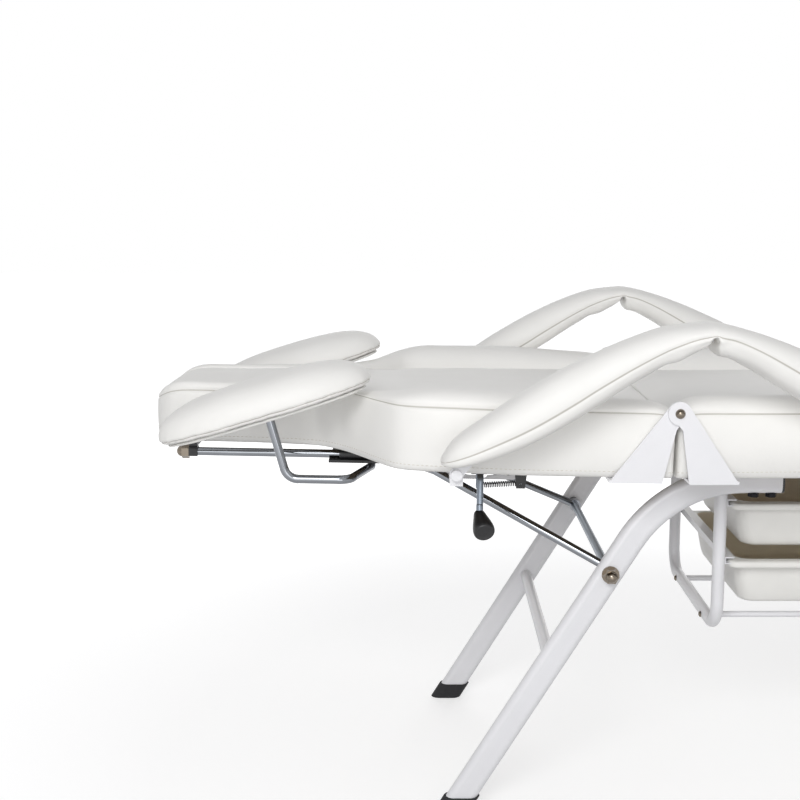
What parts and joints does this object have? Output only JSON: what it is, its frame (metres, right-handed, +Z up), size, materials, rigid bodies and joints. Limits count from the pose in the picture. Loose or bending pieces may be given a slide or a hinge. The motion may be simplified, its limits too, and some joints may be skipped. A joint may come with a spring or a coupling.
{
  "type": "reclining treatment chair",
  "caption": "Reclining salon treatment chair, lying flat: fixed seat on splayed tube legs, lifting backrest, dropping leg rest, hinged armrests, sliding forearm pads and trays.",
  "frame": {"origin": "on the floor below the middle of the chair's length and width", "axes": "+X from the head end to the foot end, +Y to the sitter's left, +Z up"},
  "size_m": [1.7765, 0.77, 0.7059],
  "materials": {
    "white_vinyl": "smooth satin vinyl over foam",
    "white_powder_coat": "gloss powder coat",
    "chrome_plate": "polished",
    "zinc_plate": "bright zinc",
    "black_plastic": "moulded satin",
    "plywood": "raw",
    "tray_plastic": "moulded",
    "black_rubber": "moulded",
    "black_steel": "black oxide"
  },
  "bodies": {
    "frame": {"leg_rear_r": "white_powder_coat", "leg_rear_l": "white_powder_coat", "leg_front_r": "white_powder_coat", "leg_front_l": "white_powder_coat", "braces": "white_powder_coat", "foot_caps": "black_rubber", "tube_caps": "black_plastic", "shafts": "zinc_plate", "shaft_bushes": "black_plastic", "washers": "chrome_plate", "dome_nuts": "chrome_plate", "frame_bolts": "black_steel", "seat_board": "plywood", "seat_cushion": "white_vinyl", "hinge_plates_seat": "white_powder_coat", "hinge_screws": "chrome_plate", "foot_plates_seat": "white_powder_coat", "arm_slot_plates": "white_powder_coat", "tray_frame_rear": "white_powder_coat", "tray_frame_front": "white_powder_coat", "tray_rails": "white_powder_coat", "rail_screws": "chrome_plate", "runners_rear": "white_powder_coat", "runners_front": "white_powder_coat"},
    "tray_upper": {"tray_upper": "tray_plastic"},
    "tray_lower": {"tray_lower": "tray_plastic"},
    "backrest": {"back_board": "plywood", "back_cushion": "white_vinyl", "hinge_plates_back": "white_powder_coat", "back_bolts": "black_steel", "rack_back": "white_powder_coat", "arm_brackets": "white_powder_coat", "arm_bolts": "black_steel", "guide_rods": "chrome_plate", "rod_nuts": "chrome_plate", "rod_holders": "black_plastic", "lever_clamps": "black_plastic", "lever_spring": "zinc_plate"},
    "lever": {"lever": "zinc_plate", "lever_grip": "black_plastic"},
    "strut_back": {"strut_back": "chrome_plate"},
    "strut_leg": {"strut_leg": "chrome_plate"},
    "pads": {"pad_carriage": "black_plastic", "pad_frame": "chrome_plate", "pad_bases": "white_vinyl", "forearm_pad_r": "white_vinyl", "forearm_pad_l": "white_vinyl"},
    "leg_rest": {"leg_board": "plywood", "leg_cushion": "white_vinyl", "foot_plates_leg": "white_powder_coat", "leg_bolts": "black_steel", "rack_leg": "white_powder_coat"},
    "arm_rear_r": {"arm_rear_r": "white_vinyl", "core_rear_r": "zinc_plate"},
    "arm_front_r": {"arm_front_r": "white_vinyl", "core_front_r": "zinc_plate"},
    "arm_rear_l": {"arm_rear_l": "white_vinyl", "core_rear_l": "zinc_plate"},
    "arm_front_l": {"arm_front_l": "white_vinyl", "core_front_l": "zinc_plate"}
  },
  "joints": [
    {"name": "back_recline", "type": "hinge", "parent": "frame", "child": "backrest", "pos_m": [-0.1725, 0, 0.588], "axis": [0, 1, 0], "range_deg": [0, 60]},
    {"name": "leg_rest_drop", "type": "hinge", "parent": "frame", "child": "leg_rest", "pos_m": [0.3475, 0, 0.502], "axis": [0, 1, 0], "range_deg": [0, 60]},
    {"name": "strut_back_swing", "type": "hinge", "parent": "frame", "child": "strut_back", "pos_m": [-0.2415, 0, 0.35], "axis": [0, 1, 0], "range_deg": [0, 48]},
    {"name": "strut_leg_swing", "type": "hinge", "parent": "frame", "child": "strut_leg", "pos_m": [0.3665, 0, 0.35], "axis": [0, 1, 0], "range_deg": [0, 82.8]},
    {"name": "arm_rear_r_swing", "type": "hinge", "parent": "backrest", "child": "arm_rear_r", "pos_m": [-0.4555, -0.345, 0.517], "axis": [0, -1, 0], "range_deg": [0, 34.2]},
    {"name": "elbow_r", "type": "hinge", "parent": "arm_rear_r", "child": "arm_front_r", "pos_m": [-0.1465, -0.345, 0.692], "axis": [0, 1, 0], "range_deg": [0, 3.6]},
    {"name": "arm_rear_l_swing", "type": "hinge", "parent": "backrest", "child": "arm_rear_l", "pos_m": [-0.4555, 0.345, 0.517], "axis": [0, -1, 0], "range_deg": [0, 34.2]},
    {"name": "elbow_l", "type": "hinge", "parent": "arm_rear_l", "child": "arm_front_l", "pos_m": [-0.1465, 0.345, 0.692], "axis": [0, 1, 0], "range_deg": [0, 3.6]},
    {"name": "pad_slide", "type": "slide", "parent": "backrest", "child": "pads", "axis": [-0.9998, 0, 0.0192], "range_m": [0, 0.198]},
    {"name": "lever_pull", "type": "hinge", "parent": "backrest", "child": "lever", "pos_m": [-0.42037, 0, 0.49274], "axis": [0, 1, 0], "range_deg": [0, 22], "stiffness_Nm_per_rad": 1.2, "springref_deg": -8.59, "deforming": ["lever_spring"]},
    {"name": "tray_upper_slide", "type": "slide", "parent": "frame", "child": "tray_upper", "axis": [0, -1, 0], "range_m": [0, 0.25]},
    {"name": "tray_lower_slide", "type": "slide", "parent": "frame", "child": "tray_lower", "axis": [0, -1, 0], "range_m": [0, 0.25]}
  ],
  "couplings": [
    {"joint": "strut_back_swing", "follows": "back_recline", "ratio": 0.8},
    {"joint": "strut_leg_swing", "follows": "leg_rest_drop", "ratio": 1.38},
    {"joint": "arm_rear_r_swing", "follows": "back_recline", "ratio": 0.57},
    {"joint": "elbow_r", "follows": "back_recline", "ratio": 0.06},
    {"joint": "arm_rear_l_swing", "follows": "back_recline", "ratio": 0.57},
    {"joint": "elbow_l", "follows": "back_recline", "ratio": 0.06}
  ]
}
